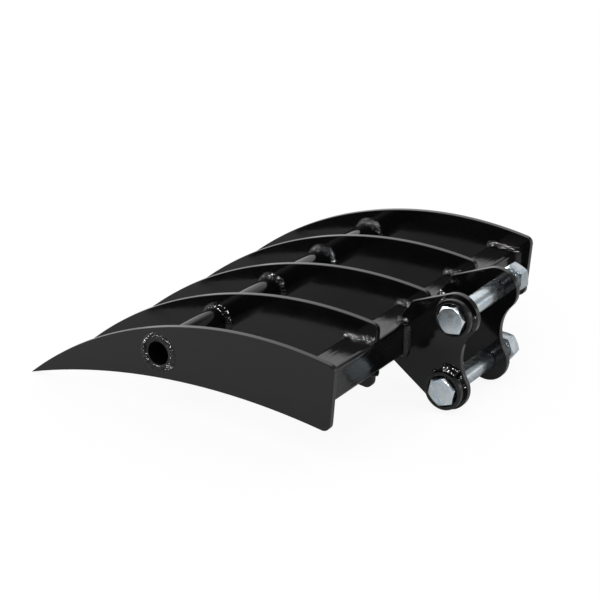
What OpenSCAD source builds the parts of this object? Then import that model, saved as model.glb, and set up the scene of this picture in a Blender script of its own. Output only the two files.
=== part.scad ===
// Excavator rake: five curved tines on a round and a square cross tube, carried by two pinned ears.
// It stands on its tine tips and the lower lobes of its ears. Millimetres, +Z up.
// The origin is on the ground, midway along and across: tips toward -Y, ears toward +Y.
// Places along the rake are named from the tine tips and moved back by mid_y when drawn.

/* [Tines] */
// Width over the outer faces of the outer tines
rake_w = 609.6; // [500:0.1:900]
// Thickness of a tine plate
tine_t = 9.525; // [6:0.025:14]
// Height of the top edge's crest above the ground
tine_crest_h = 157.7; // [150:0.1:170]
// Distance of the top edge's crest behind the tip
tine_crest_y = 424; // [390:0.5:460]
// Height of the hollow under the tine
tine_belly_h = 57.8; // [40:0.1:60]
// Distance of the hollow's highest point behind the tip
tine_belly_y = 356; // [330:0.5:380]
// Height ground off the sharp tip, where the tine rests
tip_flat = 0.6; // [0.2:0.1:2]
// Lean of the tines' rear edges from upright, in degrees
rear_lean = 4.6; // [0:0.1:8]
// How far the outer tines' rear edges lie behind the inner ones'
outer_tine_extra = 21.3; // [14:0.1:40]
// Radius of a tine's rear corners
tine_corner_r = 12; // [4:0.5:16]

/* [Round cross tube] */
// Outer diameter of the round tube
round_od = 42.2; // [30:0.1:50]
// Wall of the round tube
round_wall = 2.8; // [2:0.1:5]
// Distance of the round tube's axis behind the tips
round_y = 247.3; // [220:0.1:300]
// Drop of the round tube's axis below the middle of the tines' height there
round_drop = 1; // [0:0.1:4]

/* [Square cross tube] */
// Width and height of the square tube
square_w = 50.8; // [40:0.1:54]
// Wall of the square tube
square_wall = 4.8; // [3:0.1:6]
// Outer corner radius of the square tube
square_corner_r = 6; // [4:0.5:10]
// Distance of the square tube's axis behind the tips
square_y = 503.6; // [490:0.1:520]
// Height of the square tube's axis
square_z = 97; // [90:0.1:100]

/* [Ears] */
// Thickness of an ear plate
ear_t = 9.525; // [6:0.025:14]
// Clear space between the ears' inner faces
ear_gap = 115; // [80:0.5:140]
// Radius of the round lobe about each pin
lobe_r = 34.5; // [34.5:0.5:38]
// Radius of the hollow at the rear, between the lobes
waist_r = 64; // [60:0.5:90]
// Distance between the pins' axes
pin_spacing = 117.8; // [105:0.1:130]
// Lean of the line through the pins from upright, in degrees
pin_lean = 5.36; // [0:0.01:12]
// Distance of the lower pin's axis behind the square tube's rear face
lower_pin_run = 71.8; // [60:0.1:100]
// Length of ear that lies on top of the square tube
ear_top_lap = 16.5; // [12:0.5:25]
// Length of ear that lies under the square tube
ear_bottom_lap = 41.5; // [20:0.5:44]
// Height of the ear's front corner above the square tube
ear_front_rise = 36.2; // [25:0.1:45]
// Distance of the ear's front corner behind the start of its top lap
ear_front_run = 24; // [10:0.5:35]
// Distance of the lower edge's bend ahead of the lower pin's axis
ear_heel_run = 36.1; // [34.5:0.1:45]
// Drop of the lower edge's bend below the lower pin's axis
ear_heel_drop = 19.2; // [16:0.1:24]

/* [Pins and nuts] */
// Diameter of a pin's plain shank
pin_d = 30; // [25:0.5:32]
// Diameter of a pin's threaded end
thread_d = 27; // [20:0.5:27]
// Radial running clearance of the shank in its bores and of the thread in its nut
pin_clearance = 0.05; // [0.03:0.01:0.1]
// Width across flats of the heads and nuts
hex_af = 41; // [38:0.5:42]
// Height of a pin's head
head_h = 20; // [12:0.5:24]
// Height of a nut
nut_h = 24; // [20:0.5:44]
// Bare thread between a nut and the boss ring that it screws down to
nut_gap = 23.5; // [0:0.5:30]
// Length of thread past the nut
thread_stub = 9; // [1:0.5:12]
// Chamfer of the thread's end
thread_chamfer = 2; // [0.5:0.25:4]
// Gap between the shank's shoulder and the boss ring's outer face
shoulder_gap = 0.5; // [0.2:0.1:2]
// Turn of the upper head about the pin, in degrees
upper_hex_turn = 8.3; // [0:0.1:60]
// Turn of the lower head about the pin, in degrees
lower_hex_turn = 18.5; // [0:0.1:60]
// Turn of the upper nut about the pin, in degrees
upper_nut_turn = 36; // [0:0.1:60]
// Turn of the lower nut about the pin, in degrees
lower_nut_turn = 55; // [0:0.1:60]

/* [Rings on the ears] */
// Outer diameter of the rings
ring_od = 60.3; // [58:0.1:60.5]
// Bore of the rings that guard the heads
guard_bore = 49.2; // [48.4:0.1:54]
// Length of the rings that guard the heads
guard_l = 15; // [8:0.5:20]
// Length of the boss rings that the nuts screw down to
boss_l = 9.5; // [6:0.5:16]

/* [Welds] */
// Leg of the welds that hold the tubes
tube_weld_leg = 7; // [4:0.5:9]
// Leg of the welds that hold the rings
ring_weld_leg = 4; // [2:0.5:4]
// Leg of the one heavy stitch, above the ring that guards the lower head
heavy_stitch_leg = 9; // [4:0.5:9]
// Width of the bead round each end of the round tube
end_bead_w = 10; // [6:0.5:12]
// Height of the bead round each end of the round tube
end_bead_h = 3; // [2:0.5:4]

/* [Hidden] */

// Facets of round parts, and of the long arcs of the tines
round_fn = 96;
arc_fn = 360;
// Overrun of every cut past the face that it cuts
overrun = tine_t / 4;
// Share by which touching arcs and lines are made to cross, so that they meet in one clean edge
cross_share = 0.001;

// Tines, counted from the right-hand (+X) side
tine_count = 5;
tine_pitch = (rake_w - tine_t) / (tine_count - 1);
function tine_x(n) = (rake_w - tine_t) / 2 - (n - 1) * tine_pitch;
function is_outer(n) = n == 1 || n == tine_count;

// An arc that leaves the tip and crests at a run and a rise has this radius
function crest_radius(run, rise) = (run * run + rise * rise) / (2 * rise);
top_rise = tine_crest_h + tip_flat;
top_r = crest_radius(tine_crest_y, top_rise);
belly_rise = tine_belly_h + tip_flat;
belly_r = crest_radius(tine_belly_y, belly_rise);
// The sharp tip lies this far ahead of the flat that is ground on it
tip_set = tine_crest_y - sqrt(top_r * top_r - (top_r - tine_crest_h) * (top_r - tine_crest_h));
top_c = [tine_crest_y - tip_set, tine_crest_h - top_r];
belly_c = [tine_belly_y - tip_set, tine_belly_h - belly_r];
// Height at run y on top of the circle of radius r about c
function arc_height(c, r, y) = c.y + sqrt(r * r - (y - c.x) * (y - c.x));
round_z = (arc_height(top_c, top_r, round_y) + arc_height(belly_c, belly_r, round_y)) / 2 - round_drop;

// Faces of the square tube
square_front = square_y - square_w / 2;
square_rear = square_y + square_w / 2;
square_top = square_z + square_w / 2;
square_bottom = square_z - square_w / 2;
square_bore_r = square_corner_r / 3;

// Direction of the tines' rear edges, and the way that they face
rear_up = [sin(rear_lean), cos(rear_lean)];
rear_out = [cos(rear_lean), -sin(rear_lean)];
// An inner tine's rear edge meets the square tube's upper rear corner
function rear_point(n) = [square_rear + (is_outer(n) ? outer_tine_extra : 0), square_top];

// Pins: the lower lobes stand on the ground
lower_pin = [square_rear + lower_pin_run, lobe_r];
upper_pin = lower_pin + pin_spacing * [sin(pin_lean), cos(pin_lean)];
mid_y = (upper_pin.x + lobe_r) / 2;
// The waist's arc touches both lobes from behind
waist_reach = waist_r + lobe_r;
waist_set = sqrt(waist_reach * waist_reach - pin_spacing * pin_spacing / 4);
waist_c = (upper_pin + lower_pin) / 2 + waist_set * [cos(pin_lean), -sin(pin_lean)];

// Ears, boss rings and nuts across the rake, measured from its middle
ear_in = ear_gap / 2;
ear_out = ear_in + ear_t;
boss_end = ear_out + boss_l;
nut_end = boss_end + nut_gap + nut_h;
bore_d = pin_d + 2 * pin_clearance;
nut_bore_d = thread_d + 2 * pin_clearance;
hex_corner_d = hex_af / cos(30);
// The chamfer of a hex starts at this share of its width across flats, at this slope
chamfer_start_share = 0.95;
chamfer_slope = 30;

// Stitches of ring weld as [start, sweep, leg], with angles in degrees turned up from +Y
upper_guard_stitches = [[-28, 42, ring_weld_leg], [122, 44, ring_weld_leg]];
lower_guard_stitches = [[12, 40, ring_weld_leg], [56, 48, heavy_stitch_leg], [128, 36, ring_weld_leg]];
boss_stitches = [[-30, 60, ring_weld_leg], [120, 60, ring_weld_leg]];

paint = [0.07, 0.07, 0.075];
weld_paint = [0.11, 0.11, 0.12];
zinc = [0.82, 0.86, 0.9];

// Moves a shape drawn about a pin, tube or plate profile into place, its own Z turned to +X
module across(x, place = [0, 0]) {
    translate([x, place.x - mid_y, place.y]) rotate([90, 0, 90]) children();
}

// A profile drawn as distance from the tips and height, given a thickness from x toward +X
module plate(x, thickness) {
    across(x) linear_extrude(thickness) children();
}

module disc(centre, radius, facets = round_fn) {
    translate(centre) circle(r = radius, $fn = facets);
}

// The centre of a rounding of radius r that touches the line through p along u, facing n,
// and stays at a given reach from the point c
function rounding_centre(c, reach, p, u, n, r) =
    let (q = p - r * n - c, along = u * q)
    c + q + u * (sqrt(along * along - q * q + reach * reach) - along);

// What a rounding about c takes off the corner between faces that face n and m
module corner_waste(c, r, n, m) {
    far = r + overrun;
    difference() {
        polygon([c, c + far * n, c + far * (n + m) / (1 + n * m), c + far * m]);
        disc(c, r * (1 + cross_share));
    }
}

module tine_profile(n) {
    p = rear_point(n);
    top_corner = rounding_centre(top_c, top_r - tine_corner_r, p, rear_up, rear_out, tine_corner_r);
    low_corner = rounding_centre(belly_c, belly_r + tine_corner_r, p, rear_up, rear_out, tine_corner_r);
    top_face = (top_corner - top_c) / norm(top_corner - top_c);
    low_face = (belly_c - low_corner) / norm(belly_c - low_corner);
    // The two arcs cross again behind the rake, within this reach
    reach = 2 * tine_crest_y;
    difference() {
        disc(top_c, top_r, arc_fn);
        disc(belly_c, belly_r, arc_fn);
        polygon([p - reach * rear_up, p - reach * rear_up + reach * rear_out,
                 p + reach * rear_up + reach * rear_out, p + reach * rear_up]);
        translate([-overrun, -overrun]) square([4 * overrun, overrun]);
        corner_waste(top_corner, tine_corner_r, rear_out, top_face);
        corner_waste(low_corner, tine_corner_r, rear_out, low_face);
        disc([round_y, round_z], round_od / 2);
        if (!is_outer(n))
            translate([square_front, square_bottom]) square([square_w + 2 * overrun, square_w]);
    }
}

module tine(n) {
    color(paint) plate(tine_x(n) - tine_t / 2, tine_t) tine_profile(n);
}

module round_cross_tube() {
    color(paint) across(-rake_w / 2, [round_y, round_z]) difference() {
        cylinder(h = rake_w, d = round_od, $fn = round_fn);
        translate([0, 0, -overrun])
            cylinder(h = rake_w + 2 * overrun, d = round_od - 2 * round_wall, $fn = round_fn);
    }
}

module rounded_square(w, r) {
    inset = w / 2 - r;
    union() {
        square([w, 2 * inset], center = true);
        square([2 * inset, w], center = true);
        for (sy = [-1, 1], sz = [-1, 1]) disc([sy * inset, sz * inset], r);
    }
}

module square_cross_tube() {
    length = rake_w - 2 * tine_t;
    color(paint) plate(-length / 2, length) translate([square_y, square_z]) difference() {
        rounded_square(square_w, square_corner_r);
        rounded_square(square_w - 2 * square_wall, square_bore_r);
    }
}

// Where a line from p touches the circle about c, on the left (1) or right (-1) of the way to c
function touch_point(p, c, r, side) =
    let (d = c - p, far = norm(d), run = sqrt(far * far - r * r), a = asin(r / far) * side)
    p + run / far * [d.x * cos(a) - d.y * sin(a), d.x * sin(a) + d.y * cos(a)];

// The web between the lobes, the square tube and the front corner
module ear_web() {
    front_top = [square_rear - ear_top_lap + ear_front_run, square_top + ear_front_rise];
    front_foot = [square_rear - ear_top_lap, square_top];
    toe = [square_rear - ear_bottom_lap, square_bottom];
    heel = lower_pin - [ear_heel_run, ear_heel_drop];
    touch_r = lobe_r * (1 - cross_share);
    polygon([front_foot, front_top, touch_point(front_top, upper_pin, touch_r, 1), upper_pin,
             upper_pin + touch_r / waist_reach * (waist_c - upper_pin),
             lower_pin + touch_r / waist_reach * (waist_c - lower_pin), lower_pin,
             touch_point(heel, lower_pin, touch_r, -1), heel, toe,
             [square_rear, square_bottom], [square_rear, square_top]]);
}

module ear(x) {
    color(paint) difference() {
        union() {
            plate(x, ear_t) disc(upper_pin, lobe_r);
            plate(x, ear_t) disc(lower_pin, lobe_r);
            plate(x, ear_t) ear_web();
        }
        plate(x - overrun, ear_t + 2 * overrun) {
            disc(waist_c, waist_r * (1 + cross_share));
            disc(upper_pin, bore_d / 2);
            disc(lower_pin, bore_d / 2);
        }
    }
}

module head_guard_ring(centre) {
    color(paint) across(ear_out, centre) difference() {
        cylinder(h = guard_l, d = ring_od, $fn = round_fn);
        translate([0, 0, -overrun]) cylinder(h = guard_l + 2 * overrun, d = guard_bore, $fn = round_fn);
    }
}

module nut_boss_ring(centre) {
    color(paint) across(-boss_end, centre) difference() {
        cylinder(h = boss_l, d = ring_od, $fn = round_fn);
        translate([0, 0, -overrun]) cylinder(h = boss_l + 2 * overrun, d = bore_d, $fn = round_fn);
    }
}

// A cone that cuts the chamfer of a hex whose outer face is at height h
module chamfer_cone(h) {
    tip_d = hex_af * chamfer_start_share;
    cylinder(h = h, d1 = tip_d + 2 * h / tan(chamfer_slope), d2 = tip_d, $fn = round_fn);
}

module hex_prism(h, turn) {
    rotate(turn) cylinder(h = h, d = hex_corner_d, $fn = 6);
}

module pin(centre, turn) {
    shank_l = ear_out + boss_end - shoulder_gap;
    thread_l = shoulder_gap + nut_gap + nut_h + thread_stub;
    color(zinc) across(ear_out, centre) union() {
        intersection() {
            hex_prism(head_h, turn);
            chamfer_cone(head_h);
        }
        translate([0, 0, -shank_l]) cylinder(h = shank_l, d = pin_d, $fn = round_fn);
        translate([0, 0, -shank_l - thread_l + thread_chamfer])
            cylinder(h = thread_l - thread_chamfer, d = thread_d, $fn = round_fn);
        translate([0, 0, -shank_l - thread_l])
            cylinder(h = thread_chamfer, d1 = thread_d - 2 * thread_chamfer, d2 = thread_d, $fn = round_fn);
    }
}

module pin_nut(centre, turn) {
    color(zinc) across(-nut_end, centre) difference() {
        intersection() {
            hex_prism(nut_h, turn);
            chamfer_cone(nut_h);
            translate([0, 0, nut_h]) mirror([0, 0, 1]) chamfer_cone(nut_h);
        }
        translate([0, 0, -overrun]) cylinder(h = nut_h + 2 * overrun, d = nut_bore_d, $fn = round_fn);
    }
}

// A ring of weld with equal legs round a part of radius r, on a face that faces its own +Z
module ring_weld(r, leg, start = 0, sweep = 360) {
    rotate(start) rotate_extrude(angle = sweep, $fn = round_fn)
        polygon([[r, 0], [r + leg, 0], [r, leg]]);
}

// A low domed bead over the joint between the round tube's end and the tine
module end_bead() {
    dome_r = (end_bead_w * end_bead_w / 4 + end_bead_h * end_bead_h) / (2 * end_bead_h);
    middle_r = round_od / 2 - round_wall + end_bead_w / 2;
    rotate_extrude($fn = round_fn) translate([middle_r, 0]) intersection() {
        translate([0, end_bead_h - dome_r]) circle(r = dome_r, $fn = round_fn);
        translate([-end_bead_w / 2, 0]) square([end_bead_w, end_bead_h]);
    }
}

// Turns what is drawn above a face that faces +X so that it stands on one that faces side
module facing(side) {
    if (side > 0) children();
    else mirror([0, 0, 1]) children();
}

module round_tube_weld(n) {
    color(weld_paint) for (side = [-1, 1])
        across(tine_x(n) + side * tine_t / 2, [round_y, round_z]) facing(side)
            if (is_outer(n) && side * tine_x(n) > 0) end_bead();
            else ring_weld(round_od / 2, tube_weld_leg);
}

// A bar of weld along the rake, in the corner at x and height z
module weld_along(x, side, z, up, start, end) {
    translate([0, end - mid_y, 0]) rotate([90, 0, 0]) linear_extrude(end - start)
        polygon([[x, z], [x + side * tube_weld_leg, z], [x, z + up * tube_weld_leg]]);
}

// An upright bar of weld on the square tube, in the corner at x and distance y from the tips
module weld_upright(x, side, y, back) {
    flat_l = square_w - 2 * square_corner_r;
    translate([0, -mid_y, square_z - flat_l / 2]) linear_extrude(flat_l)
        polygon([[x, y], [x + side * tube_weld_leg, y], [x, y + back * tube_weld_leg]]);
}

module square_tube_weld(n) {
    start = square_front + square_corner_r;
    end = square_rear - square_corner_r;
    color(weld_paint) for (side = [-1, 1]) if (!is_outer(n) || side * tine_x(n) < 0) {
        face = tine_x(n) + side * tine_t / 2;
        weld_along(face, side, square_top, 1, start, end);
        weld_along(face, side, square_bottom, -1, start, end);
        weld_upright(face, side, square_front, -1);
        if (is_outer(n)) weld_upright(face, side, square_rear, 1);
    }
}

// The welds on both faces of the ear on one side (1 right, -1 left) of the rake
module ear_weld(ear_side) {
    end = square_rear - square_corner_r;
    color(weld_paint) for (side = [-1, 1]) {
        face = ear_side * (side == ear_side ? ear_out : ear_in);
        weld_along(face, side, square_top, 1, square_rear - ear_top_lap, end);
        weld_along(face, side, square_bottom, -1, square_rear - ear_bottom_lap, end);
        weld_upright(face, side, square_rear, 1);
    }
}

module ring_stitches(centre, ear_side, stitches) {
    color(weld_paint) across(ear_side * ear_out, centre) facing(ear_side)
        for (stitch = stitches) ring_weld(ring_od / 2, stitch[2], stitch[0], stitch[1]);
}

tine(1);  // tine_1
tine(2);  // tine_2
tine(3);  // tine_3
tine(4);  // tine_4
tine(5);  // tine_5
round_cross_tube();
square_cross_tube();
ear(ear_in);  // right_ear
ear(-ear_out);  // left_ear
head_guard_ring(upper_pin);  // upper_head_guard_ring
head_guard_ring(lower_pin);  // lower_head_guard_ring
nut_boss_ring(upper_pin);  // upper_nut_boss_ring
nut_boss_ring(lower_pin);  // lower_nut_boss_ring
pin(upper_pin, upper_hex_turn);
pin(lower_pin, lower_hex_turn);
pin_nut(upper_pin, upper_nut_turn);  // upper_pin_nut
pin_nut(lower_pin, lower_nut_turn);  // lower_pin_nut
round_tube_weld(1);  // round_tube_weld_1
round_tube_weld(2);  // round_tube_weld_2
round_tube_weld(3);  // round_tube_weld_3
round_tube_weld(4);  // round_tube_weld_4
round_tube_weld(5);  // round_tube_weld_5
square_tube_weld(1);  // square_tube_weld_1
square_tube_weld(2);  // square_tube_weld_2
square_tube_weld(3);  // square_tube_weld_3
square_tube_weld(4);  // square_tube_weld_4
square_tube_weld(5);  // square_tube_weld_5
ear_weld(1);  // right_ear_weld
ear_weld(-1);  // left_ear_weld
ring_stitches(upper_pin, 1, upper_guard_stitches);  // upper_guard_ring_weld
ring_stitches(lower_pin, 1, lower_guard_stitches);  // lower_guard_ring_weld
ring_stitches(upper_pin, -1, boss_stitches);  // upper_boss_ring_weld
ring_stitches(lower_pin, -1, boss_stitches);  // lower_boss_ring_weld
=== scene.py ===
# %% [markdown]
# This is an excavator rake: five curved tine plates, a round and a square cross tube, and two
# ears with pins that hang it on a digger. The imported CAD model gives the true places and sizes,
# so it is loaded first. Everything after that only gives those pieces their edges, weld beads,
# threads and finishes.

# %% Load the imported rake
import math

import bmesh
import bpy
import numpy as np
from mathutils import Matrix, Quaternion, Vector, noise


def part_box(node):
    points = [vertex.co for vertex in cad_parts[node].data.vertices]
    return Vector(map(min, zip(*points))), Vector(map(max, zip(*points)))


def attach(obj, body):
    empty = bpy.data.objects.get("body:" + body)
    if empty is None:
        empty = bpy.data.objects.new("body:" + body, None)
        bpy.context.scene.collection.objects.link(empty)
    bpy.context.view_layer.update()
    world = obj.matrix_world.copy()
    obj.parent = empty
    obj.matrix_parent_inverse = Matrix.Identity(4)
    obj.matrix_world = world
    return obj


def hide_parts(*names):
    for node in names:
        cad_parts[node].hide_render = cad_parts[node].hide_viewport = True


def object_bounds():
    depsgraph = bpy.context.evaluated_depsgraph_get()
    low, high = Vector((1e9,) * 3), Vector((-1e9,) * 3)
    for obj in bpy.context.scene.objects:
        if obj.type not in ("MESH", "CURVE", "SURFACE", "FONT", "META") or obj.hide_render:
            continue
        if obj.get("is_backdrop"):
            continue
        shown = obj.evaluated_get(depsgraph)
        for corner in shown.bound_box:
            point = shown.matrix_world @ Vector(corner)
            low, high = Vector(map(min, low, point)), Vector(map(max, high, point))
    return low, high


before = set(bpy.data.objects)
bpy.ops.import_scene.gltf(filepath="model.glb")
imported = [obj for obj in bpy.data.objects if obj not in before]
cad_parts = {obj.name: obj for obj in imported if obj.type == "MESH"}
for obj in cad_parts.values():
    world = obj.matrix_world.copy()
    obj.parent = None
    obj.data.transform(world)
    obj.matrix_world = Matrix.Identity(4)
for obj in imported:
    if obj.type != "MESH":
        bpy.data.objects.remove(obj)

CAD_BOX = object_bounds()
MM = 0.001
FULL_TURN = 2 * math.pi

# %% [markdown]
# The camera stands where the photograph was taken from: behind the rake, on its right, and
# looking down at about 22 degrees. Its place could be guessed by eye, but here it comes from
# matching the corners of the plates and tubes, so that every edge falls where it does in the
# picture. A long lens keeps the tines nearly parallel.

# %% Set up the camera
CAMERA_PLACE = Vector((2.29283, 1.45901, 1.21528))
CAMERA_AIM = Vector((-0.775342, -0.502119, -0.383043))
CAMERA_ROLL = math.radians(0.229)
LENS_LENGTH = 112.38
SENSOR_WIDTH = 36.0

camera_lens = bpy.data.cameras.new("photo_camera")
camera_lens.lens = LENS_LENGTH
camera_lens.sensor_width = SENSOR_WIDTH
camera = bpy.data.objects.new("photo_camera", camera_lens)
camera.location = CAMERA_PLACE
camera.rotation_mode = "QUATERNION"
level_view = CAMERA_AIM.to_track_quat("-Z", "Y")
camera.rotation_quaternion = level_view @ Quaternion((0, 0, 1), CAMERA_ROLL)
bpy.context.scene.collection.objects.link(camera)
bpy.context.scene.camera = camera
bpy.context.scene.view_settings.view_transform = "Standard"
print("camera height in metres:", round(camera.location.z, 3))

# %% [markdown]
# Gloss black paint has almost no colour of its own. What shows on it is the room, so the room
# comes before the paint. The rake stands in a white studio, as on a photographer's sweep: white
# behind it and at its sides, pure white to the camera and in reflections. The ceiling and the
# side where the photographer stands are dim, so that only the lamps shine from there. That is
# what makes a weld bead sparkle on black instead of turning gray. One patch high up in the left
# rear is dimmer too: the round rims of the ears and rings mirror it and stay dark.

# %% Helpers for rays and shaders
def sees_white(tree):
    """1 for rays that look straight at a surface, or see it in a mirror or through glass."""
    path = tree.nodes.new("ShaderNodeLightPath")
    total = path.outputs["Is Camera Ray"]
    for ray in ("Is Glossy Ray", "Is Transmission Ray"):
        either = tree.nodes.new("ShaderNodeMath")
        either.operation = "MAXIMUM"
        tree.links.new(total, either.inputs[0])
        tree.links.new(path.outputs[ray], either.inputs[1])
        total = either.outputs[0]
    return total


def mixed(tree, share, first, second):
    """Two shaders mixed. The share of the second is a number, or a socket that gives it."""
    mix = tree.nodes.new("ShaderNodeMixShader")
    if isinstance(share, float):
        mix.inputs[0].default_value = share
    else:
        tree.links.new(share, mix.inputs[0])
    tree.links.new(first.outputs[0], mix.inputs[1])
    tree.links.new(second.outputs[0], mix.inputs[2])
    return mix


def times(tree, first, second):
    """Two values multiplied."""
    product = tree.nodes.new("ShaderNodeMath")
    product.operation = "MULTIPLY"
    tree.links.new(first, product.inputs[0])
    tree.links.new(second, product.inputs[1])
    return product.outputs[0]


def between(tree, value, low, high, start=0.3, end=0.7):
    """Turns a value that runs from start to end into one that runs from low to high."""
    scale = tree.nodes.new("ShaderNodeMapRange")
    for name, number in (("From Min", start), ("From Max", end), ("To Min", low), ("To Max", high)):
        scale.inputs[name].default_value = number
    tree.links.new(value, scale.inputs["Value"])
    return scale.outputs["Result"]


# %% White walls, a dim ceiling, a dim side and a dim patch
WORLD_LIGHT = 0.7
DIM_LIGHT = 0.05
WALL_TOP = 0.62
CEILING_START = 0.8
DIM_SIDE = Vector((0.78, 0.62, 0)).normalized()
WALL_END = 0.3
SIDE_START = 0.6
DIM_PATCH = Vector((-0.775, 0.42, 0.47)).normalized()
PATCH_START = 0.93
PATCH_FULL = 0.975
PATCH_LIGHT = 0.25

world = bpy.data.worlds.new("white_studio")
bpy.context.scene.world = world
world.use_nodes = True
world_tree = world.node_tree
lighting = world_tree.nodes["Background"]
lighting.inputs["Strength"].default_value = WORLD_LIGHT
backdrop = world_tree.nodes.new("ShaderNodeBackground")
for part in (lighting, backdrop):
    part.inputs["Color"].default_value = (1, 1, 1, 1)
direction = world_tree.nodes.new("ShaderNodeTexCoord")


def toward(way):
    """How far a ray in the world points along a direction, from -1 to 1."""
    dot = world_tree.nodes.new("ShaderNodeVectorMath")
    dot.operation = "DOT_PRODUCT"
    dot.inputs[1].default_value = way
    world_tree.links.new(direction.outputs["Generated"], dot.inputs[0])
    return dot.outputs["Value"]


walls = between(world_tree, toward((0, 0, 1)), 1.0, DIM_LIGHT, WALL_TOP, CEILING_START)
sides = between(world_tree, toward(DIM_SIDE), 1.0, DIM_LIGHT, WALL_END, SIDE_START)
patch = between(world_tree, toward(DIM_PATCH), 1.0, PATCH_LIGHT, PATCH_START, PATCH_FULL)
room = times(world_tree, times(world_tree, walls, sides), patch)
world_tree.links.new(room, backdrop.inputs["Strength"])
seen_world = mixed(world_tree, sees_white(world_tree), lighting, backdrop)
world_tree.links.new(seen_world.outputs[0], world_tree.nodes["World Output"].inputs[0])

# %% [markdown]
# The floor is white too. A camera on a bright studio floor sees it as plain white with only a
# faint shadow, so most of what it sees is a glow and a fifth is ordinary matt white. Gloss paint
# looks at the floor right under the rake, where it is in shadow, so mirrors see it mostly matt.

# %% White floor
FLOOR_HALF = 6.0
FLOOR_WHITE = 0.8
FLOOR_GLOW = 1.12
MATT_SEEN = 0.2
MATT_MIRRORED = 0.95
FLOOR_DROP = 0.1 * MM
floor_paint = bpy.data.materials.new("studio_floor")
floor_paint.use_nodes = True
floor_tree = floor_paint.node_tree
floor_tree.nodes.remove(floor_tree.nodes["Principled BSDF"])
matt = floor_tree.nodes.new("ShaderNodeBsdfDiffuse")
matt.inputs["Color"].default_value = (FLOOR_WHITE, FLOOR_WHITE, FLOOR_WHITE, 1)
glow = floor_tree.nodes.new("ShaderNodeEmission")
glow.inputs["Strength"].default_value = FLOOR_GLOW
looks = floor_tree.nodes.new("ShaderNodeLightPath").outputs["Is Camera Ray"]
mirrored = mixed(floor_tree, MATT_MIRRORED, glow, matt)
seen_floor = mixed(floor_tree, looks, mirrored, mixed(floor_tree, MATT_SEEN, glow, matt))
whole_floor = mixed(floor_tree, sees_white(floor_tree), matt, seen_floor)
floor_tree.links.new(whole_floor.outputs[0], floor_tree.nodes["Material Output"].inputs[0])
floor_mesh = bpy.data.meshes.new("studio_floor")
floor_mesh.from_pydata(
    [(x * FLOOR_HALF, y * FLOOR_HALF, 0) for x, y in ((-1, -1), (1, -1), (1, 1), (-1, 1))],
    [],
    [(0, 1, 2, 3)],
)
floor_mesh.materials.append(floor_paint)
floor = bpy.data.objects.new("studio_floor", floor_mesh)
floor.location.z = -FLOOR_DROP
bpy.context.scene.collection.objects.link(floor)
floor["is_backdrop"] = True
print("floor half width in metres:", FLOOR_HALF)

# %% [markdown]
# Small lamps hang over the rake. Each ripple of a weld bead and each chamfer of a bolt head turns
# far enough to catch one of them. A large soft lamp would turn the beads gray all over. Several
# small strong ones give the bright sparks of the photograph with black between them. They only
# show in reflections, because the walls already light the rake evenly. Flat paint would mirror
# such a lamp as a hard white square from some side, so the lamps are linked to the beads and the
# zinc alone, in a collection of the pieces that may sparkle.

# %% Small lamps
SPARKLING = bpy.data.collections.new("sparkling_pieces")
LAMP_POWER = 18.0
LAMP_WIDTH = 0.15
LAMP_AIM = Vector((0, 0, 0.08))
LAMP_PLACES = {
    "lamp_overhead": (0.3, 0.2, 1.9),
    "lamp_right": (0.9, 1.1, 1.6),
    "lamp_behind": (-0.4, 1.1, 1.65),
    "lamp_front": (-0.5, -1.1, 1.6),
    "lamp_front_right": (1.0, -1.2, 1.3),
    "lamp_low_right": (1.95, 0.15, 0.55),
}
for name, place in LAMP_PLACES.items():
    light = bpy.data.lights.new(name, "AREA")
    light.shape = "SQUARE"
    light.size = LAMP_WIDTH
    light.energy = LAMP_POWER
    lamp = bpy.data.objects.new(name, light)
    lamp.location = place
    lamp.visible_diffuse = False
    lamp.light_linking.receiver_collection = SPARKLING
    lamp.rotation_mode = "QUATERNION"
    lamp.rotation_quaternion = (LAMP_AIM - Vector(place)).to_track_quat("-Z", "Y")
    bpy.context.scene.collection.objects.link(lamp)
print("lamps:", len(LAMP_PLACES))

# %% [markdown]
# Every finish here is made from nodes, so it has no pictures behind it and no seams. Noise is
# laid in the object's own space, in metres, so a scale of 300 gives grains of about 3 mm on
# every piece alike. These short helpers each add one node and hand back what comes out of it.

# %% Helpers for finishes
def new_finish(name):
    """A new material, its node tree and its main shader."""
    finish = bpy.data.materials.new(name)
    finish.use_nodes = True
    return finish, finish.node_tree, finish.node_tree.nodes["Principled BSDF"]


def grain(tree, scale, stretch=(1, 1, 1), detail=2.0):
    """Noise from 0 to 1 in the piece's own space, squeezed along each axis by stretch."""
    where = tree.nodes.new("ShaderNodeTexCoord")
    squeeze = tree.nodes.new("ShaderNodeMapping")
    squeeze.inputs["Scale"].default_value = stretch
    speckle = tree.nodes.new("ShaderNodeTexNoise")
    speckle.inputs["Scale"].default_value = scale
    speckle.inputs["Detail"].default_value = detail
    tree.links.new(where.outputs["Object"], squeeze.inputs["Vector"])
    tree.links.new(squeeze.outputs["Vector"], speckle.inputs["Vector"])
    return speckle.outputs["Fac"]


def blend_colours(tree, share, first, second):
    """A colour that goes from first to second as share goes from 0 to 1."""
    mix = tree.nodes.new("ShaderNodeMix")
    mix.data_type = "RGBA"
    for socket, colour in ((mix.inputs["A"], first), (mix.inputs["B"], second)):
        if isinstance(colour, tuple):
            socket.default_value = (*colour, 1)
        else:
            tree.links.new(colour, socket)
    tree.links.new(share, mix.inputs["Factor"])
    return mix.outputs["Result"]


def relief(tree, height, depth, under=None):
    """A fine relief of a depth in metres, on top of another one if it is given."""
    bump = tree.nodes.new("ShaderNodeBump")
    bump.inputs["Distance"].default_value = depth
    tree.links.new(height, bump.inputs["Height"])
    if under is not None:
        tree.links.new(under, bump.inputs["Normal"])
    return bump.outputs["Normal"]


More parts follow.
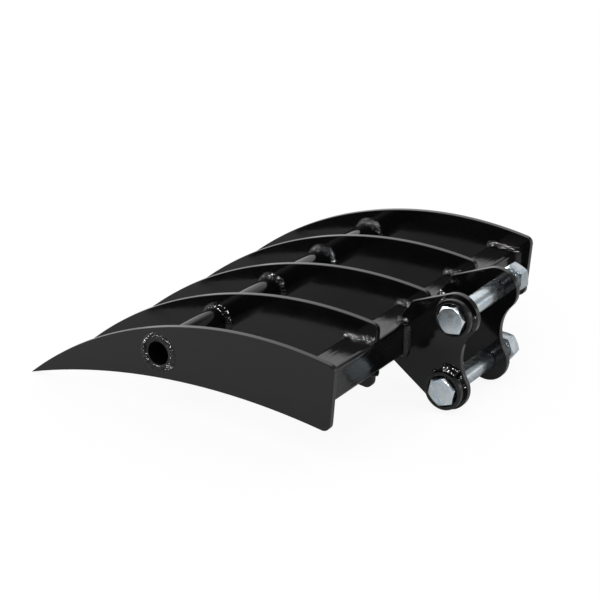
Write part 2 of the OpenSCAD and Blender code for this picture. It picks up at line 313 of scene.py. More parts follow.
# %% [markdown]
# The frame is sprayed or powder coated in gloss black. The coat is smooth enough to mirror the
# next tine, with a slight orange peel that bends those reflections. On the rolled square tube
# the long streaks from the mill still show through it. One function makes four coats: a plain one
# for plates, two with streaks along the rake for the tubes, and one with a rougher peel for welds.

# %% Gloss black paint
SOOT_DARK = (0.003, 0.003, 0.0033)
SOOT_LIGHT = (0.006, 0.006, 0.0065)
SOOT_GRAIN = 35
DULL_GRAIN = 22
STREAK_GRAIN = 230
STREAK_WAY = (0.06, 1, 1)
PAINT_IOR = 1.54
ORANGE_PEEL = (0.03 * MM, 6 * MM)
WELD_PEEL = (0.1 * MM, 2.6 * MM)


def black_coat(name, peel, peel_size, streaks=0.0, roughness=(0.02, 0.07)):
    """Gloss black with a relief of this depth and size, and mill streaks along the rake."""
    finish, tree, shader = new_finish(name)
    soot = blend_colours(tree, grain(tree, SOOT_GRAIN), SOOT_DARK, SOOT_LIGHT)
    tree.links.new(soot, shader.inputs["Base Color"])
    dull = between(tree, grain(tree, DULL_GRAIN, detail=4.0), *roughness)
    tree.links.new(dull, shader.inputs["Roughness"])
    surface = relief(tree, grain(tree, 1 / peel_size, detail=1.0), peel)
    if streaks:
        lines = grain(tree, STREAK_GRAIN, STREAK_WAY, detail=3.0)
        surface = relief(tree, lines, streaks, surface)
    tree.links.new(surface, shader.inputs["Normal"])
    shader.inputs["IOR"].default_value = PAINT_IOR
    return finish


plate_paint = black_coat("black_paint_plates", *ORANGE_PEEL, roughness=(0.07, 0.13))
round_paint = black_coat("black_paint_round_tube", *ORANGE_PEEL, streaks=0.03 * MM)
square_paint = black_coat(
    "black_paint_square_tube", *ORANGE_PEEL, streaks=0.5 * MM, roughness=(0.08, 0.15)
)
weld_paint = black_coat("black_paint_welds", *WELD_PEEL, roughness=(0.04, 0.09))
print("paints:", plate_paint.name, round_paint.name, square_paint.name, weld_paint.name)

# %% [markdown]
# The pins and nuts are zinc plated: a metal with a pale blue-gray cast. New zinc is never even.
# It has cloudy patches from the bath and fine scratches from handling, which are noise at two
# scales: wide for clouds, thin and stretched for scratches. The shanks, and still more the nuts,
# are painted darker than the heads. This is painted shade that makes them look as dim as they do
# under this light. All these pieces lie along the rake, so a piece's place along it says how
# much painted shade it gets.

# %% Bright zinc
CLOUD_GRAIN = 110
CLOUD_SPAN = (0.34, 0.55)
CLOUD_DARK = (0.66, 0.81, 0.95)
CLOUD_LIGHT = (0.89, 0.97, 1.0)
CLOUD_DEPTH = 0.1 * MM
SCRATCH_GRAIN = 700
SCRATCH_WAY = (0.05, 1, 0.12)
SCRATCH_SPAN = (0.52, 0.64)
SCRATCH_SHARE = 0.8
SCRATCH_COLOUR = (0.95, 0.99, 1.0)
SCRATCH_DEPTH = 0.02 * MM
ZINC_ROUGHNESS = (0.3, 0.18)
BLACK = (0.0, 0.0, 0.0)
# Painted shade: how much darker the shank and nut are painted than the head, and where along the
# rake the darkening starts.
HEAD_UNSHADED_FROM = 0.06
NUT_SHADED_FROM = -0.08
SHADE_FADE = 5 * MM
HEAD_UNSHADED = 1.0
SHANK_PAINTED_SHADE = 0.75
NUT_PAINTED_SHADE = 0.57


def along_rake(tree):
    """The place along the rake, in metres from its middle."""
    where = tree.nodes.new("ShaderNodeTexCoord")
    split = tree.nodes.new("ShaderNodeSeparateXYZ")
    tree.links.new(where.outputs["Object"], split.inputs[0])
    return split.outputs["X"]


def zinc_coat(name, scratch_way):
    """Zinc plate with clouds, scratches along one axis, and painted shade on shanks and nuts."""
    finish, tree, shader = new_finish(name)
    clouds = grain(tree, CLOUD_GRAIN, detail=4.0)
    scratches = grain(tree, SCRATCH_GRAIN, scratch_way, detail=4.0)
    cloudy = between(tree, clouds, 0.0, 1.0, *CLOUD_SPAN)
    zinc = blend_colours(tree, cloudy, CLOUD_DARK, CLOUD_LIGHT)
    scratched = between(tree, scratches, 0.0, SCRATCH_SHARE, *SCRATCH_SPAN)
    zinc = blend_colours(tree, scratched, zinc, SCRATCH_COLOUR)
    # Painted shade: the base colour is darkened on the shank and more on the nut, by place along
    # the rake, to stand in for dimmer light there.
    place = along_rake(tree)
    shank_shade = between(tree, place, SHANK_PAINTED_SHADE, HEAD_UNSHADED, HEAD_UNSHADED_FROM, HEAD_UNSHADED_FROM + SHADE_FADE)
    nut_shade = between(tree, place, NUT_PAINTED_SHADE / SHANK_PAINTED_SHADE, 1.0, NUT_SHADED_FROM - SHADE_FADE, NUT_SHADED_FROM)
    zinc = blend_colours(tree, times(tree, shank_shade, nut_shade), BLACK, zinc)
    tree.links.new(zinc, shader.inputs["Base Color"])
    shader.inputs["Metallic"].default_value = 1.0
    tree.links.new(between(tree, clouds, *ZINC_ROUGHNESS), shader.inputs["Roughness"])
    surface = relief(tree, scratches, SCRATCH_DEPTH)
    surface = relief(tree, clouds, CLOUD_DEPTH, surface)
    tree.links.new(surface, shader.inputs["Normal"])
    return finish


zinc_finish = zinc_coat("bright_zinc", SCRATCH_WAY)
print("metal:", zinc_finish.name)

# %% [markdown]
# A cut plate never has a perfectly sharp edge: the torch, the grinder and the thick paint leave
# it rounded by a millimetre or less. That thin round edge is what catches light along every
# plate, so each plate is a copy of its CAD mesh with its edges bevelled. Near a tine's point
# the metal is too thin for a full bevel, so the bevel gets smaller there.

# %% Helper that puts a finished piece in the scene
SMOOTH_ANGLE = math.radians(32)


def put_in(piece, finish, body, nodes):
    """Gives a piece its finish and its body, and hides the CAD nodes that it stands for."""
    piece.data.materials.clear()
    piece.data.materials.append(finish)
    if finish in (weld_paint, zinc_finish):
        SPARKLING.objects.link(piece)
    bpy.context.scene.collection.objects.link(piece)
    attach(piece, body)
    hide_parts(*nodes)


# %% Helper that copies a node with rounded edges
CUT_EDGE = 0.8 * MM
TUBE_EDGE = 0.4 * MM
SHARP_ANGLE = math.radians(25)
FLAT_ANGLE = math.radians(0.2)
SAME_PLACE = 0.001 * MM
TIP_SHARE = 0.25
TIP_REACH = 40 * MM


def edged_copy(node, name, edge=CUT_EDGE, tip=None):
    """A copy of a CAD node's mesh with its sharp edges rounded, less so near a thin tip."""
    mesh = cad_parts[node].data.copy()
    mesh.name = name
    shape = bmesh.new()
    shape.from_mesh(mesh)
    bmesh.ops.remove_doubles(shape, verts=shape.verts, dist=SAME_PLACE)
    bmesh.ops.dissolve_limit(shape, angle_limit=FLAT_ANGLE, verts=shape.verts, edges=shape.edges)
    weights = shape.edges.layers.float.new("bevel_weight_edge")
    for line in shape.edges:
        if len(line.link_faces) == 2 and line.calc_face_angle(0) > SHARP_ANGLE:
            full = 1.0
            if tip is not None:
                reach = min((v.co - tip).yz.length for v in line.verts)
                full = min(1.0, TIP_SHARE + reach / TIP_REACH)
            line[weights] = full
    shape.to_mesh(mesh)
    shape.free()
    mesh.polygons.foreach_set("use_smooth", [True] * len(mesh.polygons))
    piece = bpy.data.objects.new(name, mesh)
    bevel = piece.modifiers.new("rounded_edges", "BEVEL")
    bevel.limit_method = "WEIGHT"
    bevel.width = edge
    bevel.segments = 3
    bevel.use_clamp_overlap = False
    bevel.harden_normals = False
    even = piece.modifiers.new("even_faces", "WEIGHTED_NORMAL")
    even.weight = 100
    even.keep_sharp = True
    return piece


# %% Tine plates
TINES = (1, 2, 3, 4, 5)
for number in TINES:
    node = f"tine_{number}"
    low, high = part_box(node)
    point = Vector((0, low.y, low.z))
    tine = edged_copy(node, f"tine_{number}_plate", tip=point)
    put_in(tine, plate_paint, "rake_frame", [node])
    print(tine.name, "is", round((high.y - low.y) / MM), "mm long")

# %% Ear plates and the square tube
for side in ("right", "left"):
    ear = edged_copy(f"{side}_ear", f"{side}_ear_plate")
    put_in(ear, plate_paint, "rake_frame", [f"{side}_ear"])
square_tube = edged_copy("square_cross_tube", "square_tube", edge=TUBE_EDGE)
put_in(square_tube, square_paint, "rake_frame", ["square_cross_tube"])

# %% [markdown]
# Rings, pins and nuts are turned on a lathe, so they are drawn the way a lathe works: a row of
# points goes round the axis, then steps to the next row. Each row has a place along the rake
# and a radius, and the radius may change round the axis, which is how a hexagon and a screw
# thread fit in the same mesh.

# %% Helper for turned pieces
def mesh_piece(name, points, faces):
    """An object made of points and faces, all facing outward, with soft shading."""
    mesh = bpy.data.meshes.new(name)
    mesh.from_pydata(points, [], faces)
    shape = bmesh.new()
    shape.from_mesh(mesh)
    bmesh.ops.recalc_face_normals(shape, faces=shape.faces)
    shape.to_mesh(mesh)
    shape.free()
    mesh.polygons.foreach_set("use_smooth", [True] * len(mesh.polygons))
    mesh.set_sharp_from_angle(angle=SMOOTH_ANGLE)
    return bpy.data.objects.new(name, mesh)


def turned_piece(name, axis, turns, rows, ring):
    """Rows of (place, radius) turned about an axis along the rake. A ring has a bore."""
    across, count = np.cos(turns), len(turns)
    up = np.sin(turns)
    points, faces = [], []
    for place, radius in rows:
        x = np.broadcast_to(place, count)
        r = np.broadcast_to(radius, count)
        points += list(zip(x, axis[0] + r * across, axis[1] + r * up))
    steps = len(rows) if ring else len(rows) - 1
    for i in range(steps):
        a, b = i * count, (i + 1) % len(rows) * count
        faces += [(a + j, a + (j + 1) % count, b + (j + 1) % count, b + j) for j in range(count)]
    if not ring:
        faces += [tuple(range(count)), tuple(range((len(rows) - 1) * count, len(rows) * count))]
    return mesh_piece(name, [tuple(map(float, p)) for p in points], faces)


def rounded_corner(place, radius, along, outward, edge, steps=3):
    """Rows that round a corner. along and outward say which way each face leaves it."""
    rows = []
    for k in range(steps + 1):
        turn = math.pi / 2 * k / steps
        rows.append((
            place + along * edge * (1 - math.sin(turn)),
            radius + outward * edge * (1 - math.cos(turn)),
        ))
    return rows


# %% Rings and the round tube
ROUND_STEPS = 120
EVEN_TURNS = np.linspace(0, FULL_TURN, ROUND_STEPS, endpoint=False)


def axis_of(node):
    """The place of a turned piece's axis, across the rake and up."""
    low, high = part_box(node)
    return (low.y + high.y) / 2, (low.z + high.z) / 2


def ring_piece(node, name, bore, edge):
    """A ring or tube as long as its CAD node, with rounded edges."""
    low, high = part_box(node)
    outer = (high.y - low.y) / 2
    rows = rounded_corner(high.x, outer, -1, -1, edge)[::-1]
    rows += rounded_corner(low.x, outer, 1, -1, edge)
    rows += rounded_corner(low.x, bore, 1, 1, edge)[::-1]
    rows += rounded_corner(high.x, bore, -1, 1, edge)
    return turned_piece(name, axis_of(node), EVEN_TURNS, rows, ring=True)


def bore_of(node):
    """The radius of a ring's bore, measured on its CAD mesh."""
    y, z = axis_of(node)
    return min(math.hypot(v.co.y - y, v.co.z - z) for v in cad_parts[node].data.vertices)


RING_NODES = {
    "upper_head_guard_ring": "upper_guard_ring",
    "lower_head_guard_ring": "lower_guard_ring",
    "upper_nut_boss_ring": "upper_boss_ring",
    "lower_nut_boss_ring": "lower_boss_ring",
    "round_cross_tube": "round_tube",
}
for node, name in RING_NODES.items():
    ring = ring_piece(node, name, bore_of(node), CUT_EDGE)
    paint = round_paint if name == "round_tube" else plate_paint
    put_in(ring, paint, "rake_frame", [node])
    print(name, "bore in mm:", round(2 * bore_of(node) / MM, 1))

# %% [markdown]
# Each pin is one turned piece: a hex head, a plain shank, and a threaded end that carries a nut
# near its tip, well clear of the boss ring. The radius of a hexagon with rounded corners has a
# simple rule at every angle. A thread is a radius that rises and falls along the pin, shifted a
# little further at each angle.

# %% Hexagons
HEX_CORNER_R = 0.9 * MM
HEX_SLOPE = math.tan(math.radians(30))
HEX_FACE_SHARE = 0.95
HEX_EDGE = 0.5 * MM
HEX_LIP = 0.03 * MM
SIXTH = math.pi / 3
CORNER_SHARES = [0.012, 0.024, 0.036, 0.05, 0.09]
FLAT_SHARES = [0.16, 0.25, 0.35, 0.45, 0.55, 0.65, 0.75, 0.84]


def hex_turns(turn):
    """Angles round a hexagon, close together at its corners."""
    shares = [0] + CORNER_SHARES + FLAT_SHARES + [1 - share for share in CORNER_SHARES[::-1]]
    return np.array([turn + SIXTH * (k + share) for k in range(6) for share in shares])


def hex_radius(turns, turn, half_flats):
    """The radius of a hexagon at each angle. Its first corner is at the angle turn."""
    from_corner = (turns - turn + SIXTH / 2) % SIXTH - SIXTH / 2
    from_flat = SIXTH / 2 - np.abs(from_corner)
    set_in = (half_flats - HEX_CORNER_R) / math.cos(SIXTH / 2)
    flat_end = math.atan((half_flats - HEX_CORNER_R) * math.tan(SIXTH / 2) / half_flats)
    flat = half_flats / np.cos(from_flat)
    inside = np.maximum(HEX_CORNER_R**2 - (set_in * np.sin(from_corner)) ** 2, 0)
    corner = set_in * np.cos(from_corner) + np.sqrt(inside)
    return np.where(from_flat <= flat_end, flat, corner)


def hex_end_rows(face, inward, radius, half_flats, edge=HEX_EDGE):
    """Rows over the chamfered end of a hexagon, from its flat face to its sides."""
    start = half_flats * HEX_FACE_SHARE
    drop = (radius - start) * HEX_SLOPE
    slope_end = np.maximum(drop - edge * HEX_SLOPE, edge)
    return [
        (face, start - edge),
        (face + inward * HEX_LIP, start),
        (face + inward * edge * HEX_SLOPE, start + edge),
        (face + inward * slope_end, np.maximum(radius - edge, start)),
        (face + inward * (drop + 0.2 * edge), radius - 0.15 * edge),
        (face + inward * (drop + edge), radius),
    ]


# %% Threads
THREAD_PITCH = 3.0 * MM
THREAD_STEPS = 8
THREAD_FLANK = 2.5


def thread_rows(start, end, crest, depth, turns, run_out):
    """Rows of a screw thread between two places, whose radius goes from crest to crest - depth."""
    count = max(2, round(abs(end - start) / THREAD_PITCH * THREAD_STEPS))
    rows = []
    for k in range(count + 1):
        place = start + (end - start) * k / count
        phase = (place / THREAD_PITCH - turns / FULL_TURN) % 1.0
        ridge = np.clip(THREAD_FLANK / 2 - THREAD_FLANK * np.abs(phase - 0.5), 0, 1)
        fade = min(1.0, min(k, count - k) * abs(end - start) / count / run_out)
        rows.append((place, crest - depth * fade * ridge))
    return rows


# %% Pins
PIN_THREAD_R = 13.45 * MM
THREAD_DEPTH = 1.7 * MM
SHANK_EDGE = 1.0 * MM
HEAD_EDGE = 0.4 * MM
END_CHAMFER = 1.5 * MM
MIDDLE_R = 4 * MM
BORE_GAP = 0.05 * MM
SHOULDER_SET_IN = 0.5 * MM
PIN_RUN_OUT = 2 * MM


def hex_turn_of(node):
    """The angle of a hexagon's corner, measured on its CAD mesh."""
    y, z = axis_of(node)
    far = max(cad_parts[node].data.vertices, key=lambda v: math.hypot(v.co.y - y, v.co.z - z))
    return math.atan2(far.co.z - z, far.co.y - y)


def hex_half_flats(node):
    """Half the width across flats, from the hexagon's widest radius."""
    y, z = axis_of(node)
    wide = max(math.hypot(v.co.y - y, v.co.z - z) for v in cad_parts[node].data.vertices)
    return wide * math.cos(math.pi / 6)


def pin_piece(level, name):
    """A pin with its head on the right ear and its threaded end past the left boss ring."""
    node = f"{level}_pin"
    low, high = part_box(node)
    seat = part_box("right_ear")[1].x
    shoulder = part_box(f"{level}_nut_boss_ring")[0].x + SHOULDER_SET_IN
    shank_r = bore_of(f"{level}_nut_boss_ring") - BORE_GAP
    turn, half_flats = hex_turn_of(node), hex_half_flats(node)
    turns = hex_turns(turn)
    hexagon = hex_radius(turns, turn, half_flats)
    rows = [(high.x, MIDDLE_R)] + hex_end_rows(high.x, -1, hexagon, half_flats)
    rows += [(seat + HEAD_EDGE, hexagon), (seat, hexagon - HEAD_EDGE), (seat, shank_r)]
    rows += rounded_corner(shoulder, shank_r, 1, -1, SHANK_EDGE)
    rows += [(shoulder, PIN_THREAD_R)]
    end = low.x + END_CHAMFER
    rows += thread_rows(shoulder, end, PIN_THREAD_R, THREAD_DEPTH, turns, PIN_RUN_OUT)
    rows += [(low.x, PIN_THREAD_R - END_CHAMFER), (low.x, MIDDLE_R)]
    return turned_piece(name, axis_of(f"{level}_nut_boss_ring"), turns, rows, ring=False)


for level in ("upper", "lower"):
    pin = pin_piece(level, f"{level}_pin_turned")
    put_in(pin, zinc_finish, f"{level}_pin", [f"{level}_pin"])
    print(pin.name, "has", len(pin.data.vertices), "points")

# %% Nuts
NUT_BORE_R = 13.55 * MM
NUT_MOUTH = 1.2 * MM
NUT_RUN_OUT = 1 * MM


def nut_piece(level, name):
    """A nut with both ends chamfered and a thread cut outward from its bore."""
    node = f"{level}_pin_nut"
    low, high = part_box(node)
    turn, half_flats = hex_turn_of(node), hex_half_flats(node)
    turns = hex_turns(turn)
    hexagon = hex_radius(turns, turn, half_flats)
    start, end = low.x + NUT_MOUTH, high.x - NUT_MOUTH
    rows = [(high.x, NUT_BORE_R + NUT_MOUTH)] + hex_end_rows(high.x, -1, hexagon, half_flats)
    rows += hex_end_rows(low.x, 1, hexagon, half_flats)[::-1] + [(low.x, NUT_BORE_R + NUT_MOUTH)]
    rows += thread_rows(start, end, NUT_BORE_R, -THREAD_DEPTH, turns, NUT_RUN_OUT)
    return turned_piece(name, axis_of(f"{level}_nut_boss_ring"), turns, rows, ring=True)


for level in ("upper", "lower"):
    nut = nut_piece(level, f"{level}_nut_turned")
    put_in(nut, zinc_finish, f"{level}_nut", [f"{level}_pin_nut"])
    print(nut.name, "has", len(nut.data.vertices), "points")

# %% [markdown]
# A weld bead is a row of small overlapping puddles of steel that froze one after another. Each
# leaves a crescent ridge, so a bead is a swept shape whose section swells at every puddle. The
# ridges bend back toward where the weld began, because the middle of a puddle freezes last. The
# sweep follows the corner between two faces, with one leg of the section on each.

# %% Helper that spaces the ripples of a bead
RIPPLE_LENGTHS = (0.55, 1.5)


def ripple_phase(length, spacing, seed):
    """Places along a bead and the ripple number there. Ripples vary a little in length."""
    draw = np.random.RandomState(seed)
    places, numbers = [0.0], [0.0]
    while places[-1] < length:
        places.append(places[-1] + spacing * draw.uniform(*RIPPLE_LENGTHS))
        numbers.append(numbers[-1] + 1.0)
    return np.array(places) * length / places[-1], np.array(numbers)


def each_ripple(numbers, seed, low, high):
    """A random value for each ripple, read at fractions of a ripple too."""
    values = np.random.RandomState(seed).uniform(low, high, int(numbers[-1]) + 3)
    return np.interp(numbers, np.arange(len(values)), values)


def wander(along, reach, seed, size):
    """A slow random waver along a bead."""
    draw = np.random.RandomState(seed)
    knots = np.linspace(0, along[-1] + 1e-9, max(4, int(along[-1] / reach) + 2))
    values = draw.uniform(-size, size, len(knots))
    values[-1] = values[0]
    return np.interp(along, knots, values)


# %% Helper that sweeps a bead
BEAD_STEPS = 14
SINK = 0.25 * MM
LUMP_SIZE = 3.2 * MM
LUMP_HEIGHT = 0.55 * MM
BULGE = 1.45
SWELL_REACH = 9 * MM
SWELL_SIZE = 0.07
END_FADE = 2.5 * MM
END_START = 0.25
RIPPLE_HEIGHTS = (0.5, 1.4)
RIPPLE_LAG = 0.75
RIPPLE_SHARPNESS = 0.65
RIPPLE_MIDDLE = 0.6
TOE = 0.02
TOE_WAVER = 0.12
DOME_FULLNESS = 0.8
DOME_LEAN = 0.5


def fillet_section(leg):
    """The round face of a corner weld, from one leg to the other: points and directions."""
    turn = np.linspace(0, math.pi / 2, BEAD_STEPS)
    u, w = np.cos(turn) ** BULGE, np.sin(turn) ** BULGE
    hidden = [(-SINK, leg), (-SINK, -SINK), (leg, -SINK)]
    return leg * u, leg * w, np.cos(turn), np.sin(turn), hidden


def dome_section(width, height):
    """A low dome across a joint between two flush faces."""
    t = np.linspace(0, 1, BEAD_STEPS)
    u, w = width * (t - 0.5), height * (1 - (2 * t - 1) ** 2) ** DOME_FULLNESS
    hidden = [(width / 2, -SINK), (-width / 2, -SINK)]
    return u, w, DOME_LEAN * (2 * t - 1), np.ones(BEAD_STEPS), hidden


def bead(path, first, second, section, closed, seed, spacing, ridge, lumps=1.0):
    """Points and faces of a rippled bead along a path, in the plane of two directions.

    ridge is the height of the ripples, one number or one for each point of the path. lumps is how
    high the lumps between them are, as a share of LUMP_HEIGHT."""
    path, first, second = (np.asarray(a, float) for a in (path, first, second))
    ends = np.vstack([path, path[:1]]) if closed else path
    along = np.concatenate([[0], np.cumsum(np.linalg.norm(np.diff(ends, axis=0), axis=1))])
    length, along = along[-1], along[: len(path)]
    places, numbers = ripple_phase(length, spacing, seed)
    number = np.interp(along, places, numbers)
    swell = 1 + wander(np.append(along, length), SWELL_REACH, seed + 1, SWELL_SIZE)[: len(path)]
    if not closed:
        near_end = np.minimum(along, length - along) / END_FADE
        swell = swell * np.sqrt(np.clip(END_START + near_end, 0, 1))
    u, w, nu, nw, hidden = section
    t = np.linspace(0, 1, len(u))
    lag = RIPPLE_LAG * (1 - (2 * t - 1) ** 2)
    strength = ridge * each_ripple(number, seed + 2, *RIPPLE_HEIGHTS)
    soft_toe = np.sin(math.pi * np.clip(t, TOE, 1 - TOE)) ** 0.5
    count = len(u) + len(hidden)
    points = []
    for k in range(len(path)):
        wave = np.abs(np.sin(math.pi * (number[k] + lag))) ** RIPPLE_SHARPNESS - RIPPLE_MIDDLE
        middle = (path[k] + np.outer(u, first[k]) + np.outer(w, second[k])) / LUMP_SIZE
        lump = np.array([noise.noise(Vector(p)) for p in middle])
        lift = (strength[k] * wave + lumps * LUMP_HEIGHT * lump) * soft_toe
        grow = swell[k] * (1 + TOE_WAVER * (wave * (1 - soft_toe)))
        a = np.append(u * grow + lift * nu, [h[0] for h in hidden])
        b = np.append(w * grow + lift * nw, [h[1] for h in hidden])
        if not closed:
            a[len(u):] *= min(1.0, swell[k])
            b[len(u):] *= min(1.0, swell[k])
        points += list(path[k] + np.outer(a, first[k]) + np.outer(b, second[k]))
    faces = []
    for k in range(len(path) if closed else len(path) - 1):
        p, q = k * count, (k + 1) % len(path) * count
        faces += [(p + j, p + (j + 1) % count, q + (j + 1) % count, q + j) for j in range(count)]
    if not closed:
        faces += [tuple(range(count)), tuple(range((len(path) - 1) * count, len(path) * count))]
    return points, faces


def beads_piece(name, beads):
    """Several beads as one piece."""
    points, faces = [], []
    for more_points, more_faces in beads:
        faces += [tuple(len(points) + i for i in face) for face in more_faces]
        points += more_points
    return mesh_piece(name, [tuple(map(float, p)) for p in points], faces)


# %% [markdown]
# The round tube passes through a hole in every tine and is welded all round on both faces. At
# its two ends the weld lies flat over the joint, as a low lumpy ring. It leaves the inner part of
# the tube's end bare, so a thin smooth rim shows round the open bore.

# %% Round tube welds
TUBE_LEG = 7.0 * MM
BARE_RIM = 1.6 * MM
END_BEAD_WIDTH = 12.0 * MM
END_BEAD_HEIGHT = 1.5 * MM
END_RIDGE = 1.6 * MM
END_LUMPS = 1.7
WELD_START = 0.9
TUBE_RIPPLE = 4.6 * MM
TUBE_RIDGE = 0.95 * MM
BEAD_PACE = 0.55 * MM


def arc_path(x, axis, radius, start, sweep):
    """Points of an arc about an axis along the rake, and the outward direction at each."""
    count = max(8, int(radius * sweep / BEAD_PACE))
    turns = start + sweep * np.arange(count) / (count if sweep >= FULL_TURN else count - 1)
    outward = np.stack([np.zeros(count), np.cos(turns), np.sin(turns)], axis=1)
    return np.array([x, *axis]) + radius * outward, outward


def sideways(count, side):
    """The same direction along the rake for every point of a path."""
    return np.tile([float(side), 0.0, 0.0], (count, 1))


tube_axis = axis_of("round_cross_tube")
tube_r = (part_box("round_cross_tube")[1].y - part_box("round_cross_tube")[0].y) / 2
tube_bore = bore_of("round_cross_tube")
rake_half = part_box("round_cross_tube")[1].x
for number in TINES:
    low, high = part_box(f"tine_{number}")
    runs = []
    for side, x in ((-1, low.x), (1, high.x)):
        seed = 100 * number + 10 * side
        if abs(x) > rake_half - 1 * MM:
            middle = tube_bore + BARE_RIM + END_BEAD_WIDTH / 2
            path, outward = arc_path(x, tube_axis, middle, WELD_START, FULL_TURN)
            section = dome_section(END_BEAD_WIDTH, END_BEAD_HEIGHT)
            ridge, lumps = END_RIDGE, END_LUMPS
        else:
            path, outward = arc_path(x, tube_axis, tube_r, WELD_START, FULL_TURN)
            section = fillet_section(TUBE_LEG)
            ridge, lumps = TUBE_RIDGE, 1.0
        runs.append(bead(path, outward, sideways(len(path), side), section, True, seed,
                         TUBE_RIPPLE, ridge, lumps))
    piece = beads_piece(f"round_tube_beads_{number}", runs)
    put_in(piece, weld_paint, "rake_frame", [f"round_tube_weld_{number}"])
    print(piece.name, "has", len(piece.data.vertices), "points")

# %% [markdown]
# The square tube is let into the inner tines from behind, so their welds run over its top, down
# its front and back under it. Between the outer tines it is only butted, so there the weld goes
# all the way round. The ears hook over it from the other side. A bead that is laid down an
# upright face runs a little as it freezes, so its ripples are much lower there.

# %% Outline of the square tube
SQUARE_CORNER_R = 6.0 * MM
CORNER_STEPS = 18


def square_outline():
    """Points round the square tube and the outward direction at each, from its rear, over its
    top, down its front and back under it, then up its rear."""
    low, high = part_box("square_cross_tube")
    y0, y1, z0, z1 = low.y, high.y, low.z, high.z
    r = SQUARE_CORNER_R
    corners = [(y1 - r, z1 - r, 90), (y0 + r, z1 - r, 180)]
    corners += [(y0 + r, z0 + r, 270), (y1 - r, z0 + r, 360)]
    points, outward = [], []
    for k, (y, z, end) in enumerate(corners):
        for turn in np.radians(np.linspace(end - 90, end, CORNER_STEPS)):
            points.append((y + r * math.cos(turn), z + r * math.sin(turn)))
            outward.append((math.cos(turn), math.sin(turn)))
        next_y, next_z, _ = corners[(k + 1) % 4]
        turn = math.radians(end)
        start = np.array(points[-1])
        stop = np.array([next_y + r * math.cos(turn), next_z + r * math.sin(turn)])
        count = int(np.linalg.norm(stop - start) / BEAD_PACE)
        for share in np.arange(1, count) / count:
            points.append(tuple(start + (stop - start) * share))
            outward.append((math.cos(turn), math.sin(turn)))
    return np.array(points), np.array(outward)


OUTLINE, OUTLINE_OUT = square_outline()
TUBE_LOW, TUBE_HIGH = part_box("square_cross_tube")
UPRIGHT_RIDGE = 0.3 * MM
REAR_REACH = 2 * MM
on_rear = OUTLINE[:, 0] > TUBE_HIGH.y - REAR_REACH
print("points round the square tube:", len(OUTLINE))


def outline_bead(x, side, keep, seed, closed, rolled=0):
    """A bead on the face at x, along the points of the square tube's outline that are kept."""
    order = np.roll(np.arange(len(OUTLINE)), -rolled)
    order = order[keep[order]]
    path = np.insert(OUTLINE[order], 0, x, axis=1)
    outward = np.insert(OUTLINE_OUT[order], 0, 0.0, axis=1)
    ridges = np.where(on_rear[order], UPRIGHT_RIDGE, TUBE_RIDGE)
    return bead(path, outward, sideways(len(path), side), fillet_section(TUBE_LEG), closed, seed,
                TUBE_RIPPLE, ridges)


# %% Square tube welds
SQUARE_SEED = 1000
TOP_REACH = 3 * MM
on_top = OUTLINE[:, 1] > TUBE_HIGH.z - TOP_REACH
for number in TINES:
    low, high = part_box(f"tine_{number}")
    outer = number in (TINES[0], TINES[-1])
    runs = []
    for side, x in ((-1, low.x), (1, high.x)):
        if outer and side * (low.x + high.x) > 0:
            continue
        keep = np.ones(len(OUTLINE), bool) if outer else ~on_rear
        start = 0 if outer else int(np.argmax(~on_rear & on_top))
        seed = SQUARE_SEED + 100 * number + 10 * side
        runs.append(outline_bead(x, side, keep, seed, outer, start))
    piece = beads_piece(f"square_tube_beads_{number}", runs)
    put_in(piece, weld_paint, "rake_frame", [f"square_tube_weld_{number}"])
    print(piece.name, "has", len(piece.data.vertices), "points")

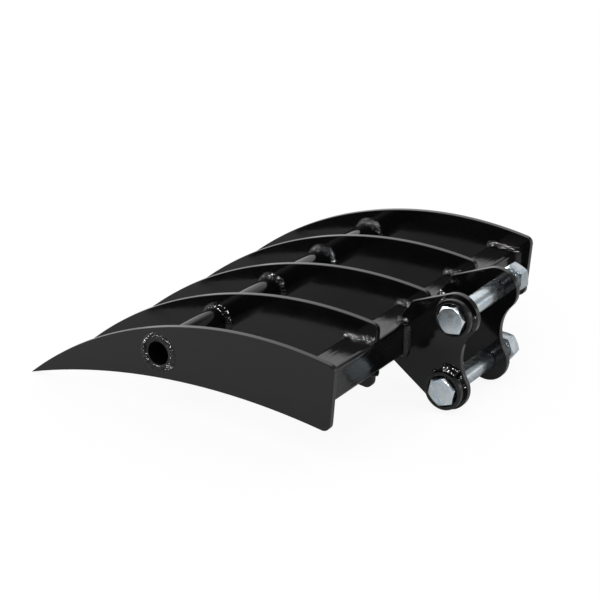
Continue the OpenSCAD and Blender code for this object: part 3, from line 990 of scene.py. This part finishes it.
# %% Ear welds
EAR_SEED = 2000
EAR_WELD_REACH = 16.5 * MM
for side, name in ((1, "right"), (-1, "left")):
    low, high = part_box(f"{name}_ear")
    node = f"{name}_ear_weld"
    weld_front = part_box(node)[0].y
    upper = OUTLINE[:, 1] > (TUBE_LOW.z + TUBE_HIGH.z) / 2
    top_start = TUBE_HIGH.y - EAR_WELD_REACH
    keep = np.where(upper, OUTLINE[:, 0] > top_start, OUTLINE[:, 0] > weld_front)
    start = int(np.argmax(~upper & (OUTLINE[:, 0] > weld_front)))
    runs = [outline_bead(x, face, keep, EAR_SEED + 100 * side + 10 * face, False, start)
            for face, x in ((-1, low.x), (1, high.x))]
    piece = beads_piece(f"{name}_ear_beads", runs)
    put_in(piece, weld_paint, "rake_frame", [node])
    print(piece.name, "has", len(piece.data.vertices), "points")

# %% [markdown]
# The rings on the ears carry little load, so they are only stitched: short beads with gaps
# between them, each starting and ending in a small rounded crater. Each stitch is an angle where
# it starts, an angle that it sweeps, and its leg. One stitch is much heavier than the rest.

# %% Stitches at the rings
RING_LEG = 4.0 * MM
HEAVY_LEG = 9.0 * MM
RING_RIPPLE = 3.2 * MM
RING_RIDGE = 0.6 * MM
RING_SEED = 3000
BOSS_STITCHES = ((-30, 60, RING_LEG), (120, 60, RING_LEG))
UPPER_STITCHES = ((-28, 42, RING_LEG), (122, 44, RING_LEG))
LOWER_STITCHES = ((12, 40, RING_LEG), (56, 48, HEAVY_LEG), (128, 36, RING_LEG))
STITCHES = {
    "upper_guard_ring_weld": ("upper_head_guard_ring", 1, UPPER_STITCHES),
    "lower_guard_ring_weld": ("lower_head_guard_ring", 1, LOWER_STITCHES),
    "upper_boss_ring_weld": ("upper_nut_boss_ring", -1, BOSS_STITCHES),
    "lower_boss_ring_weld": ("lower_nut_boss_ring", -1, BOSS_STITCHES),
}
for seed, (node, (ring_node, side, stitches)) in enumerate(STITCHES.items(), start=RING_SEED):
    low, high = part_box(ring_node)
    face = low.x if side > 0 else high.x
    radius = (high.y - low.y) / 2
    runs = []
    for start, sweep, leg in stitches:
        turns = math.radians(start), math.radians(sweep)
        path, outward = arc_path(face, axis_of(ring_node), radius, *turns)
        size = max(1.0, leg / TUBE_LEG)
        runs.append(bead(path, outward, sideways(len(path), side), fillet_section(leg),
                         False, seed + 10 * len(runs), RING_RIPPLE * size, RING_RIDGE * size))
    piece = beads_piece(node.replace("_weld", "_stitches"), runs)
    put_in(piece, weld_paint, "rake_frame", [node])
    print(piece.name, "has", len(runs), "stitches")

# %% Print the sizes before and after dressing
DRESSED_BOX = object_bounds()
for name, box in (("CAD", CAD_BOX), ("dressed", DRESSED_BOX)):
    print(name, "box in mm:", [round(x / MM, 1) for x in box[1] - box[0]])
